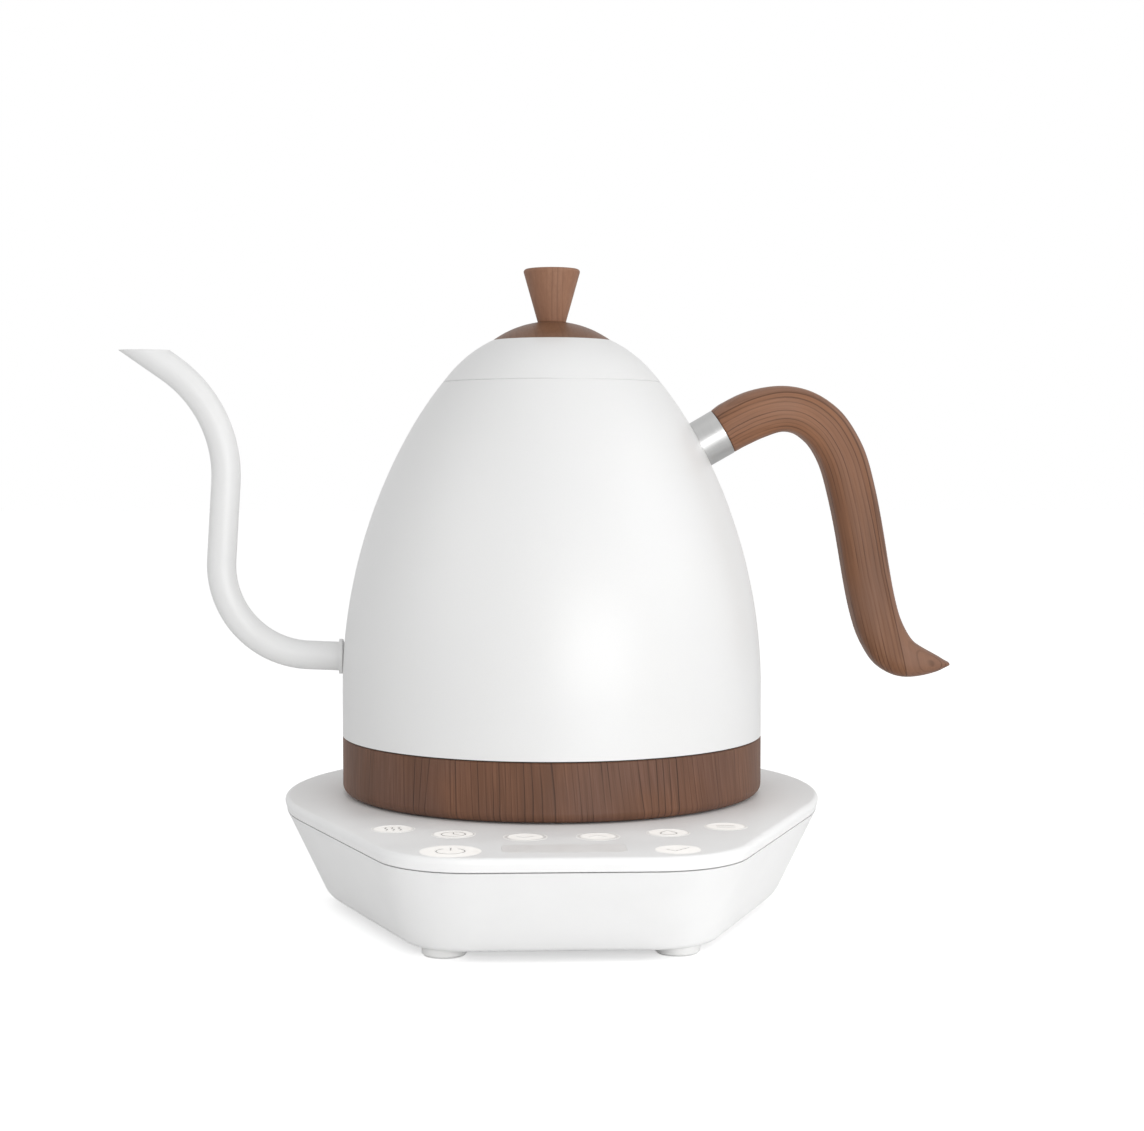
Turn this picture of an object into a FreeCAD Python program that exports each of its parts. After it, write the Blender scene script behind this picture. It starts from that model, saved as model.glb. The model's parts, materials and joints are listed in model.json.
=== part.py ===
import FreeCAD, Part
import math
import os
import Sketcher
from FreeCAD import Placement, Rotation, Vector

# Electric gooseneck kettle on its power base.
# Frame: origin on the floor under the kettle's axis, +Z up, the spout towards -X,
# the handle towards +X, and the base's control panel towards -Y. Millimetres.

doc = FreeCAD.newDocument("gooseneck_kettle")

SIZES = [
    # egg-shaped body: a short straight foot, then three arcs, each tangent to the last
    ("egg_foot_radius", 74.7),
    ("egg_foot_height", 75.3),
    ("low_curve", 184.7),
    ("low_angle", 29.16),
    ("mid_curve", 138.4),
    ("lid_angle", 38.35),
    ("mid_angle", 40.34),
    ("top_curve", 44.4),
    ("cap_angle", 64.4),
    ("shell_wall", 1.0),
    ("neck_radius", 39.1),
    ("neck_bottom", 174.0),
    ("neck_flange_radius", 35.0),
    # wood-look band round the foot of the body
    ("band_bottom", 38.6),
    ("band_top", 58.5),
    ("band_thickness", 2.15),
    ("band_edge_round", 3.2),
    ("band_lip_radius", 67.5),
    ("trim_top", 58.9),
    # vessel floor and heater
    ("floor_height", 59.8),
    ("floor_thickness", 1.2),
    ("element_ring_radius", 48.0),
    ("element_radius", 3.3),
    ("spreader_radius", 62.0),
    ("spreader_thickness", 2.2),
    ("sensor_offset", 33.0),
    ("cutout_ring", 36.0),
    ("cover_screw_ring", 60.0),
    # connector between kettle and base
    ("socket_radius", 25.0),
    ("socket_bore", 16.0),
    ("socket_bottom", 41.0),
    ("socket_top", 56.0),
    ("plug_radius", 15.5),
    ("plug_top", 52.0),
    ("under_cover_bottom", 42.0),
    ("under_cover_thickness", 2.0),
    # gooseneck spout
    ("spout_radius", 5.15),
    ("spout_wall", 0.8),
    ("spout_root", 71.9),
    ("spout_height", 86.3),
    ("spout_rise", 2.5),
    ("spout_run", 15.0),
    ("spout_low_bend", 32.0),
    ("riser_lean", 3.55),
    ("riser_length", 27.6),
    ("spout_top_bend", 46.0),
    ("tip_heading", 35.0),
    ("tip_length", 24.0),
    ("tip_height", 195.2),
    # handle
    ("ferrule_tilt", 30.0),
    ("ferrule_root", 52.8),
    ("ferrule_height", 161.75),
    ("ferrule_length", 9.5),
    ("ferrule_radius", 8.55),
    ("stud_radius", 3.0),
    ("stud_reach", 24.0),
    # lid
    ("lid_gap", 0.5),
    ("lid_wall", 1.5),
    ("cap_radius", 21.1),
    ("cap_dome", 35.7),
    ("cap_seat", 197.1),
    ("knob_bottom", 205.3),
    ("knob_top", 224.1),
    ("knob_low_radius", 5.05),
    ("knob_high_radius", 10.0),
    # base: round at the back, straight sides closing towards a straight front
    ("seam_height", 33.7),
    ("seam_radius", 94.4),
    ("seam_front", 128.7),
    ("seam_corner", 31.4),
    ("seam_gap", 0.4),
    ("side_angle", 22.7),
    ("deck_height", 38.2),
    ("deck_flare", 15.0),
    ("deck_round", 1.6),
    ("base_wall", 2.2),
    ("under_height", 3.3),
    ("under_radius", 80.0),
    ("under_front", 101.5),
    ("under_corner", 22.0),
    ("under_round", 5.0),
    ("foot_radius", 7.2),
    ("foot_inset", 1.0),
    # touch panel
    ("icon_ring", 95.0),
    ("icon_radius", 6.9),
    ("icon_depth", 0.6),
    ("power_icon_radius", 9.3),
    ("panel_row", 117.0),
    ("panel_side", 34.5),
    ("display_length", 38.0),
    ("display_width", 13.0),
    ("display_row", 113.5),
    # mains inlet at the back
    ("gland_height", 16.5),
    ("gland_bore", 3.6),
    ("gland_radius", 5.6),
]


class Size:
    """A number that remembers the spreadsheet formula it came from."""

    def __init__(self, value, text):
        self.value = float(value)
        self.text = text

    def __add__(self, other):
        return Size(self.value + val(other), "(%s + %s)" % (self.text, words(other)))

    def __sub__(self, other):
        return Size(self.value - val(other), "(%s - %s)" % (self.text, words(other)))

    def __mul__(self, other):
        return Size(self.value * val(other), "(%s * %s)" % (self.text, words(other)))

    def __truediv__(self, other):
        return Size(self.value / val(other), "(%s / %s)" % (self.text, words(other)))

    def __neg__(self):
        return Size(-self.value, "(0 - %s)" % self.text)


def val(x):
    return x.value if isinstance(x, Size) else float(x)


def words(x):
    return x.text if isinstance(x, Size) else repr(float(x))


def cosd(angle):
    return Size(math.cos(math.radians(val(angle))), "cos(%s)" % words(angle))


def sind(angle):
    return Size(math.sin(math.radians(val(angle))), "sin(%s)" % words(angle))


def root(x):
    return Size(math.sqrt(val(x)), "sqrt(%s)" % words(x))


sheet = doc.addObject("Spreadsheet::Sheet", "sizes")
for row, (alias, number) in enumerate(SIZES, 1):
    sheet.set("A%d" % row, alias)
    sheet.set("B%d" % row, str(number))
    sheet.setAlias("B%d" % row, alias)
doc.recompute()
S = {alias: Size(number, "sizes.%s" % alias) for alias, number in SIZES}

nodes = {}

CONTACT_RINGS = (5.5, 11.0)   # radii of the two power contacts that meet in the connector


def keep(label, obj):
    """Register an object as one node of the assembly."""
    obj.Label = label
    nodes[label] = obj
    return obj


def put(obj, prop, x):
    """Set a property and tie it to the spreadsheet when the value came from there."""
    setattr(obj, prop, val(x))
    if isinstance(x, Size):
        obj.setExpression(prop, x.text)


def place(obj, x=0, y=0, z=0, axis=(0, 0, 1), angle=0):
    obj.Placement = Placement(Vector(val(x), val(y), val(z)), Rotation(Vector(*axis), val(angle)))
    for name, part in (("x", x), ("y", y), ("z", z)):
        if isinstance(part, Size):
            obj.setExpression("Placement.Base.%s" % name, part.text)
    return obj


def make_body(name):
    return doc.addObject("PartDesign::Body", name)


def sketch_on(body, role, lift=0, name="outline"):
    plane = [f for f in body.Origin.OriginFeatures if f.Role == role][0]
    sketch = body.newObject("Sketcher::SketchObject", "%s_%s" % (body.Name, name))
    sketch.AttachmentSupport = [(plane, "")]
    sketch.MapMode = "FlatFace"
    sketch.AttachmentOffset = Placement(Vector(0, 0, val(lift)), Rotation())
    if isinstance(lift, Size):
        sketch.setExpression("AttachmentOffset.Base.z", lift.text)
    return sketch


def fix(sketch, edge, end, x, y):
    """Hold one end of an edge at sketch position x, y."""
    for kind, axis, part in (("DistanceX", -2, x), ("DistanceY", -1, y)):
        if val(part) == 0:
            sketch.addConstraint(Sketcher.Constraint("PointOnObject", edge, end, axis))
            continue
        index = sketch.addConstraint(Sketcher.Constraint(kind, -1, 1, edge, end, val(part)))
        if isinstance(part, Size):
            sketch.setExpression("Constraints[%d]" % index, part.text)


def arc_through(a, via, b):
    """The arc a-via-b as a counter-clockwise sketch arc, with the end numbers of a and b."""
    ax, ay, bx, by, cx, cy = a[0], a[1], via[0], via[1], b[0], b[1]
    d = 2 * (ax * (by - cy) + bx * (cy - ay) + cx * (ay - by))
    a2, b2, c2 = ax * ax + ay * ay, bx * bx + by * by, cx * cx + cy * cy
    ux = (a2 * (by - cy) + b2 * (cy - ay) + c2 * (ay - by)) / d
    uy = (a2 * (cx - bx) + b2 * (ax - cx) + c2 * (bx - ax)) / d
    radius = math.hypot(ax - ux, ay - uy)
    first = math.atan2(ay - uy, ax - ux)
    last = math.atan2(cy - uy, cx - ux)
    ccw = d > 0
    if not ccw:
        first, last = last, first
    if last < first:
        last += 2 * math.pi
    circle = Part.Circle(Vector(ux, uy, 0), Vector(0, 0, 1), radius)
    return Part.ArcOfCircle(circle, first, last), radius, (1, 2) if ccw else (2, 1)


def draw(sketch, steps, closed=True):
    """Draw corners joined by lines, or by an arc where a ("via", x, y) stands between two."""
    corners = [step for step in steps if step[0] != "via"]
    vias = {}
    count = -1
    for step in steps:
        if step[0] == "via":
            vias[count] = step[1:]
        else:
            count += 1
    total = len(corners) if closed else len(corners) - 1
    ends = []
    for i in range(total):
        a = [val(v) for v in corners[i][:2]]
        b = [val(v) for v in corners[(i + 1) % len(corners)][:2]]
        if i in vias:
            arc, radius, pair = arc_through(a, [val(v) for v in vias[i][:2]], b)
            index = sketch.addGeometry(arc)
            ends.append((index, pair[0], pair[1]))
        else:
            index = sketch.addGeometry(Part.LineSegment(Vector(*a, 0), Vector(*b, 0)))
            ends.append((index, 1, 2))
    for i in range(total if closed else total - 1):
        this, after = ends[i], ends[(i + 1) % total]
        sketch.addConstraint(Sketcher.Constraint("Coincident", this[0], this[2], after[0], after[1]))
    for i, end in enumerate(ends):
        fix(sketch, end[0], end[1], corners[i][0], corners[i][1])
    if not closed:
        fix(sketch, ends[-1][0], ends[-1][2], corners[-1][0], corners[-1][1])
    for i, end in enumerate(ends):
        if i in vias:
            radius = sketch.Geometry[end[0]].Radius
            sketch.addConstraint(Sketcher.Constraint("Radius", end[0], radius))
    return sketch


def circle_in(sketch, x, y, radius):
    centre = Vector(val(x), val(y), 0)
    index = sketch.addGeometry(Part.Circle(centre, Vector(0, 0, 1), val(radius)))
    fix(sketch, index, 3, x, y)
    row = sketch.addConstraint(Sketcher.Constraint("Radius", index, val(radius)))
    if isinstance(radius, Size):
        sketch.setExpression("Constraints[%d]" % row, radius.text)


def turned(name, steps):
    """A body of revolution about the vertical axis."""
    body = make_body(name)
    sketch = draw(sketch_on(body, "XZ_Plane"), steps)
    turn = body.newObject("PartDesign::Revolution", name + "_turn")
    turn.Profile = sketch
    turn.ReferenceAxis = (sketch, ["V_Axis"])
    turn.Angle = 360
    return body


def pad(body, sketch, length, tag="pad"):
    feature = body.newObject("PartDesign::Pad", "%s_%s" % (body.Name, tag))
    feature.Profile = sketch
    put(feature, "Length", length)
    return feature


def pocket(body, sketch, depth, upward=False, tag="cut"):
    """Cut from the sketch plane, downward unless told otherwise, and make sure it cuts."""
    doc.recompute()
    before = body.Shape.Volume
    feature = body.newObject("PartDesign::Pocket", "%s_%s" % (body.Name, tag))
    feature.Profile = sketch
    put(feature, "Length", depth)
    feature.Reversed = upward
    doc.recompute()
    if body.Shape.Volume > before - 0.01:
        raise ValueError("%s cuts nothing" % feature.Name)
    return feature


def loft(body, sections, tag="loft", cut=False, ruled=False):
    kind = "PartDesign::SubtractiveLoft" if cut else "PartDesign::AdditiveLoft"
    feature = body.newObject(kind, "%s_%s" % (body.Name, tag))
    feature.Profile = sections[0]
    feature.Sections = sections[1:]
    feature.Ruled = ruled
    return feature


def round_edges(body, radius, wanted, tag="round"):
    """Fillet the edges whose centre and length pass the test."""
    doc.recompute()
    tip = body.Tip
    names = []
    for number, edge in enumerate(body.Shape.Edges, 1):
        if wanted(edge):
            names.append("Edge%d" % number)
    feature = body.newObject("PartDesign::Fillet", "%s_%s" % (body.Name, tag))
    feature.Base = (tip, names)
    put(feature, "Radius", radius)
    doc.recompute()
    return feature


def cylinder(name, radius, height, **where):
    solid = doc.addObject("Part::Cylinder", name)
    put(solid, "Radius", radius)
    put(solid, "Height", height)
    return place(solid, **where)


def box(name, size, corner):
    solid = doc.addObject("Part::Box", name)
    for prop, part in zip(("Length", "Width", "Height"), size):
        put(solid, prop, part)
    return place(solid, *corner)


def fuse(name, shapes):
    joined = doc.addObject("Part::MultiFuse", name)
    joined.Shapes = shapes
    return joined


def cut(name, base, tool):
    left = doc.addObject("Part::Cut", name)
    left.Base = base
    left.Tool = tool
    return left


def group(name, shapes):
    """Separate solids that share one node."""
    bundle = doc.addObject("Part::Compound", name)
    bundle.Links = shapes
    return bundle


# ---------------------------------------------------------------- egg profile
def egg(stage, angle, inset=0.0):
    """Point of the egg's side, moved inward by inset. Angle is the normal's, above level."""
    low_r = S["egg_foot_radius"] - S["low_curve"]
    low_z = S["egg_foot_height"]
    if stage == "low":
        reach = S["low_curve"] - inset
        return low_r + cosd(angle) * reach, low_z + sind(angle) * reach
    shift = S["low_curve"] - S["mid_curve"]
    mid_r = low_r + cosd(S["low_angle"]) * shift
    mid_z = low_z + sind(S["low_angle"]) * shift
    if stage == "mid":
        reach = S["mid_curve"] - inset
        return mid_r + cosd(angle) * reach, mid_z + sind(angle) * reach
    shift = S["mid_curve"] - S["top_curve"]
    reach = S["top_curve"] - inset
    top_r = mid_r + cosd(S["mid_angle"]) * shift
    top_z = mid_z + sind(S["mid_angle"]) * shift
    return top_r + cosd(angle) * reach, top_z + sind(angle) * reach


def egg_side(inset, last_angle):
    """Steps up the side of the body from the foot to the given angle on the middle arc."""
    return [
        (S["egg_foot_radius"] - inset, S["egg_foot_height"]),
        ("via",) + egg("low", S["low_angle"] / 2, inset),
        egg("low", S["low_angle"], inset),
        ("via",) + egg("mid", (S["low_angle"] + last_angle) / 2, inset),
        egg("mid", last_angle, inset),
    ]


# ---------------------------------------------------------------- kettle body
def body_shell():
    """Thin vessel wall with a stepped-in foot, a lid neck and a seat for the lid."""
    wall = S["shell_wall"]
    step_r = S["egg_foot_radius"] - S["band_thickness"] - 0.1
    outer = egg_side(0.0, S["lid_angle"])
    inner = egg_side(wall, S["lid_angle"] - 1.0)
    inner.reverse()
    steps = [
        (step_r, S["band_bottom"] + 2.1),
        (step_r, S["trim_top"] - 0.1),
        (S["egg_foot_radius"], S["trim_top"]),
    ]
    steps += outer
    steps += [
        (S["neck_radius"], S["neck_bottom"] + 1.0),
        (S["neck_flange_radius"], S["neck_bottom"] + 1.0),
        (S["neck_flange_radius"], S["neck_bottom"]),
        (S["neck_radius"] + wall, S["neck_bottom"]),
    ]
    steps += inner
    steps += [
        (S["egg_foot_radius"] - wall, S["trim_top"] + 0.8),
        (step_r - wall, S["trim_top"] + 0.7),
        (step_r - wall, S["band_bottom"] + 2.1),
    ]
    body = turned("kettle_body_shell", steps)
    hole = sketch_on(body, "YZ_Plane", -S["spout_root"] + 0.9, "spout_hole")
    circle_in(hole, 0, S["spout_height"] + 0.12, S["spout_radius"] + 0.08)
    pocket(body, hole, 5.0)
    return keep("kettle_body_shell", body)


def envelope():
    """Solid inside of the body's outer surface, used to trim what stands on it."""
    steps = [(0, S["trim_top"]), (S["egg_foot_radius"] + 0.02, S["trim_top"])]
    steps += egg_side(-0.02, S["lid_angle"])
    steps += [(0, egg("mid", S["lid_angle"], -0.02)[1])]
    return turned("egg_envelope", steps)


def band_and_trim():
    outer = S["egg_foot_radius"]
    inner = outer - S["band_thickness"]
    low = S["band_bottom"]
    edge = S["band_edge_round"]
    slant = 1 - math.sqrt(0.5)
    steps = [
        (S["band_lip_radius"], low),
        (outer - edge, low),
        ("via", outer - edge * slant, low + edge * slant),
        (outer, low + edge),
        (outer, S["band_top"] - 0.4),
        (outer - 0.4, S["band_top"]),
        (inner, S["band_top"]),
        (inner, low + 2.0),
        (S["band_lip_radius"], low + 2.0),
    ]
    keep("foot_band", turned("foot_band", steps))
    steps = [
        (inner + 0.2, S["band_top"] + 0.02),
        (outer - 0.75, S["band_top"] + 0.02),
        (outer - 0.75, S["trim_top"] - 0.08),
        (inner + 0.2, S["trim_top"] - 0.14),
    ]
    keep("band_seal", turned("band_seal", steps))


def heater():
    floor_low = S["floor_height"]
    thick = S["floor_thickness"]
    fit = S["egg_foot_radius"] - S["shell_wall"] - 0.05
    steps = [
        (0, floor_low),
        (fit, floor_low),
        (fit, floor_low + 4.0),
        (fit - thick, floor_low + 4.0),
        (fit - thick, floor_low + thick),
        (0, floor_low + thick),
    ]
    vessel_floor = turned("vessel_floor", steps)
    sensor_hole = sketch_on(vessel_floor, "XY_Plane", floor_low + 3.0, "sensor_hole")
    circle_in(sensor_hole, 0, S["sensor_offset"], 4.05)
    pocket(vessel_floor, sensor_hole, 6.0)
    keep("vessel_floor", vessel_floor)

    low = floor_low - S["spreader_thickness"] - 0.02
    steps = [
        (0, low),
        (S["spreader_radius"], low),
        (S["spreader_radius"], low + S["spreader_thickness"]),
        (0, low + S["spreader_thickness"]),
    ]
    spreader = turned("heat_spreader", steps)
    sensor_hole = sketch_on(spreader, "XY_Plane", floor_low + 3.0, "sensor_hole")
    circle_in(sensor_hole, 0, S["sensor_offset"], 5.0)
    pocket(spreader, sensor_hole, 8.0)
    keep("heat_spreader", spreader)

    ring = doc.addObject("Part::Torus", "element_ring")
    put(ring, "Radius1", S["element_ring_radius"])
    put(ring, "Radius2", S["element_radius"])
    ring.Angle3 = 310
    place(ring, z=low - S["element_radius"] - 0.02, angle=-65)
    ends = []
    for side, turn in (("left", -65), ("right", 245)):
        reach = val(S["element_ring_radius"])
        x = reach * math.cos(math.radians(turn))
        y = reach * math.sin(math.radians(turn))
        ends.append(cylinder("element_end_" + side, S["element_radius"], 6.6, x=x, y=y, z=low - 9.9))
        ends.append(cylinder("element_pin_" + side, 1.2, 5.0, x=x, y=y, z=low - 13.2))
    keep("heating_element", fuse("heating_element", [ring] + ends))

    guards = []
    for turn in (150, 30):
        x = cosd(turn) * S["cutout_ring"]
        y = sind(turn) * S["cutout_ring"]
        guards.append(fuse("guard_%d" % turn, [
            cylinder("guard_can_%d" % turn, 6.4, 4.5, x=x, y=y, z=low - 4.52),
            cylinder("guard_base_%d" % turn, 5.2, 4.0, x=x, y=y, z=low - 8.0),
        ]))
    keep("dry_boil_cutouts", group("dry_boil_cutouts", guards))

    keep("sensor_seal", cut(
        "sensor_seal",
        fuse("seal_outer", [
            cylinder("seal_plug", 4.0, 5.0, y=S["sensor_offset"], z=floor_low - 1.6),
            cylinder("seal_flange", 5.6, 0.9, y=S["sensor_offset"], z=floor_low + thick + 0.02),
        ]),
        cylinder("seal_bore", 2.55, 12.0, y=S["sensor_offset"], z=floor_low - 4.0),
    ))
    keep("temperature_sensor", fuse("temperature_sensor", [
        cylinder("sensor_tube", 2.5, 14.0, y=S["sensor_offset"], z=floor_low - 6.0),
        cylinder("sensor_base", 3.6, 3.0, y=S["sensor_offset"], z=floor_low - 6.5),
    ]))


def underside():
    low = S["under_cover_bottom"]
    thick = S["under_cover_thickness"]
    hub = S["socket_radius"] + 0.4
    rim = S["egg_foot_radius"] - S["band_thickness"] - S["shell_wall"] - 0.2
    steps = [
        (hub, low + 1.0),
        (hub + 6.0, low + 1.0),
        (hub + 8.0, low),
        (rim, low),
        (rim, low + 6.0),
        (rim - thick, low + 6.0),
        (rim - thick, low + thick),
        (hub + 8.6, low + thick),
        (hub + 6.6, low + 1.0 + thick),
        (hub + thick, low + 1.0 + thick),
        (hub + thick, low + 7.0),
        (hub, low + 7.0),
    ]
    cover = turned("underside_cover", steps)
    wells = sketch_on(cover, "XY_Plane", low + 4.0, "screw_holes")
    places = []
    for turn in (90, 210, 330):
        places.append((cosd(turn) * S["cover_screw_ring"], sind(turn) * S["cover_screw_ring"]))
    for x, y in places:
        circle_in(wells, x, y, 1.75)
    pocket(cover, wells, 8.0)
    keep("underside_cover", cover)
    screws = []
    for number, (x, y) in enumerate(places):
        screws.append(fuse("cover_screw_%d" % number, [
            cylinder("cover_screw_head_%d" % number, 3.0, 1.6, x=x, y=y, z=low - 1.62),
            cylinder("cover_screw_stem_%d" % number, 1.65, 11.0, x=x, y=y, z=low - 1.0),
        ]))
    keep("underside_screws", group("underside_screws", screws))


def connector_socket():
    """Round socket in the kettle's underside that drops over the base's plug."""
    low = S["socket_bottom"]
    high = S["socket_top"]
    bore = S["socket_bore"]
    steps = [
        (bore + 2.0, low),
        (S["socket_radius"], low),
        (S["socket_radius"], high - 2.0),
        (S["socket_radius"] - 2.0, high),
        (0, high),
        (0, high - 1.4),
        (1.6, high - 1.4),
        (1.6, high - 3.4),
        (bore, high - 3.4),
        (bore, low + 2.0),
    ]
    keep("kettle_connector", turned("kettle_connector", steps))
    rings = []
    for number, radius in enumerate(CONTACT_RINGS):
        outer = cylinder("ring_outer_%d" % number, radius + 0.6, 1.5, z=high - 4.92)
        inner = cylinder("ring_inner_%d" % number, radius - 0.6, 3.0, z=high - 5.5)
        rings.append(cut("socket_ring_%d" % number, outer, inner))
    keep("socket_rings", group("socket_rings", rings))


# ---------------------------------------------------------------- spout
def spout():
    rise = val(S["spout_rise"])
    lean = val(S["riser_lean"])
    low_bend = val(S["spout_low_bend"])
    top_bend = val(S["spout_top_bend"])
    heading = val(S["tip_heading"])

    def along(point, angle, distance):
        turn = math.radians(angle)
        return (point[0] + distance * math.cos(turn), point[1] + distance * math.sin(turn))

    start = (-val(S["spout_root"]), val(S["spout_height"]))
    bend_in = along(start, 180 - rise, val(S["spout_run"]))
    low_centre = along(bend_in, 90 - rise, low_bend)
    bend_mid = along(low_centre, 225 - (rise + lean) / 2, low_bend)
    bend_out = along(low_centre, 180 - lean, low_bend)
    riser_end = along(bend_out, 90 - lean, val(S["riser_length"]))
    top_centre = along(riser_end, 180 - lean, top_bend)
    curl_mid = along(top_centre, (90 - heading - lean) / 2, top_bend)
    curl_end = along(top_centre, 90 - heading, top_bend)
    tip = along(curl_end, 180 - heading, val(S["tip_length"]))

    body = make_body("spout_tube")
    path = sketch_on(body, "XZ_Plane", 0, "path")
    draw(path, [start, bend_in, ("via",) + bend_mid, bend_out, riser_end,
                ("via",) + curl_mid, curl_end, tip], closed=False)
    doc.recompute()
    ring = body.newObject("Sketcher::SketchObject", "spout_tube_ring")
    ring.AttachmentSupport = [(path, "Edge1")]
    ring.MapMode = "NormalToEdge"
    ring.MapPathParameter = 0
    circle_in(ring, 0, 0, S["spout_radius"])
    circle_in(ring, 0, 0, S["spout_radius"] - S["spout_wall"])
    pipe = body.newObject("PartDesign::AdditivePipe", "spout_tube_pipe")
    pipe.Profile = ring
    pipe.Spine = (path, ["Edge%d" % n for n in range(1, 6)])
    doc.recompute()
    trim = sketch_on(body, "XY_Plane", S["tip_height"], "tip_trim")
    draw(trim, [(-175, -10), (-115, -10), (-115, 10), (-175, 10)])
    pocket(body, trim, 30.0, upward=True, tag="tip_cut")
    keep("spout_tube", body)

    collar = make_body("spout_collar")
    face = sketch_on(collar, "YZ_Plane", -S["spout_root"] - 0.8, "ring")
    middle = S["spout_height"] + 0.15
    circle_in(face, 0, middle, S["spout_radius"] + 1.1)
    circle_in(face, 0, middle, S["spout_radius"] + 0.1)
    plate = pad(collar, face, 3.2)
    plate.Reversed = True
    doc.recompute()
    scoop = sketch_on(collar, "XY_Plane", S["spout_height"] + 12.0, "scoop")
    circle_in(scoop, 0, 0, S["egg_foot_radius"])
    pocket(collar, scoop, 24.0)
    keep("spout_collar", collar)


# ---------------------------------------------------------------- handle
def grip_section(body, number, x, z, heading, half_height, half_depth, corner):
    """Rounded rectangle across the grip: sketch x runs across the grip, sketch y along Y."""
    sketch = body.newObject("Sketcher::SketchObject", "handle_grip_section_%d" % number)
    normal = Vector(math.cos(math.radians(heading)), 0, math.sin(math.radians(heading)))
    across = Vector(-normal.z, 0, normal.x)
    depth = normal.cross(across)
    sketch.Placement = Placement(Vector(x, 0, z), Rotation(across, depth, normal, "ZXY"))
    w, d = half_height, half_depth
    r = corner * min(w, d)
    k = r * (1 - math.sqrt(0.5))
    draw(sketch, [
        (w, -d + r), (w, d - r), ("via", w - k, d - k),
        (w - r, d), (-w + r, d), ("via", -w + k, d - k),
        (-w, d - r), (-w, -d + r), ("via", -w + k, -d + k),
        (-w + r, -d), (w - r, -d), ("via", w - k, -d + k),
    ])
    return sketch


def handle():
    tilt = S["ferrule_tilt"]
    x0, z0 = S["ferrule_root"], S["ferrule_height"]
    lean = 90 - val(tilt)
    ferrule = doc.addObject("Part::Cone", "ferrule_cone")
    put(ferrule, "Radius1", S["ferrule_radius"] - 0.1)
    put(ferrule, "Radius2", S["ferrule_radius"])
    put(ferrule, "Height", S["ferrule_length"] + 6.0)
    place(ferrule, x=x0 - cosd(tilt) * 6.0, z=z0 - sind(tilt) * 6.0, axis=(0, 1, 0), angle=lean)
    bore = cylinder("ferrule_bore", S["stud_radius"] + 0.05, 40.0,
                    x=x0 - cosd(tilt) * 12.0, z=z0 - sind(tilt) * 12.0, axis=(0, 1, 0), angle=lean)
    inside = envelope()
    doc.recompute()
    ring = cut("ferrule_ring", ferrule, inside)
    keep("handle_ferrule", cut("handle_ferrule", ring, bore))
    stud = cylinder("stud_rod", S["stud_radius"], S["stud_reach"] + 6.0,
                    x=x0 - cosd(tilt) * 6.0, z=z0 - sind(tilt) * 6.0, axis=(0, 1, 0), angle=lean)
    keep("handle_stud", cut("handle_stud", stud, inside))

    body = make_body("handle_grip")
    # x, z, heading in degrees, half height, half depth, corner as a share of the smaller half
    stations = [
        (61.1, 166.6, 30, 8.5, 8.5, 0.95),
        (64.8, 168.95, 30, 8.75, 8.6, 0.80),
        (73.0, 172.75, 18, 8.75, 8.6, 0.64),
        (82.3, 174.7, 0, 8.2, 8.5, 0.60),
        (90.0, 173.3, -23, 8.05, 8.5, 0.60),
        (96.8, 168.7, -45, 8.15, 8.5, 0.60),
        (101.1, 163.1, -60, 8.15, 8.5, 0.60),
        (104.65, 155.7, -69, 8.25, 8.5, 0.60),
        (107.6, 145.0, -76, 8.25, 8.5, 0.60),
        (110.1, 133.1, -79, 8.2, 8.5, 0.60),
        (114.25, 109.7, -79, 8.15, 8.5, 0.60),
        (116.9, 99.0, -71, 8.1, 8.5, 0.60),
        (119.3, 93.3, -60, 8.05, 8.5, 0.60),
        (122.5, 88.3, -47, 7.9, 8.4, 0.62),
        (126.6, 85.2, -31, 7.1, 8.2, 0.66),
        (131.2, 83.9, -17, 5.8, 7.8, 0.72),
        (138.4, 83.15, -4, 3.1, 6.6, 0.80),
        (142.4, 83.0, 1, 1.0, 4.8, 0.90),
    ]
    sections = []
    for number, station in enumerate(stations):
        sections.append(grip_section(body, number, *station))
    doc.recompute()
    loft(body, sections)
    doc.recompute()
    socket = cylinder("grip_socket", S["stud_radius"] + 0.05, S["stud_reach"] + 1.0,
                      x=x0, z=z0, axis=(0, 1, 0), angle=lean)
    keep("handle_grip", cut("handle_grip_bored", body, socket))


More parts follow.
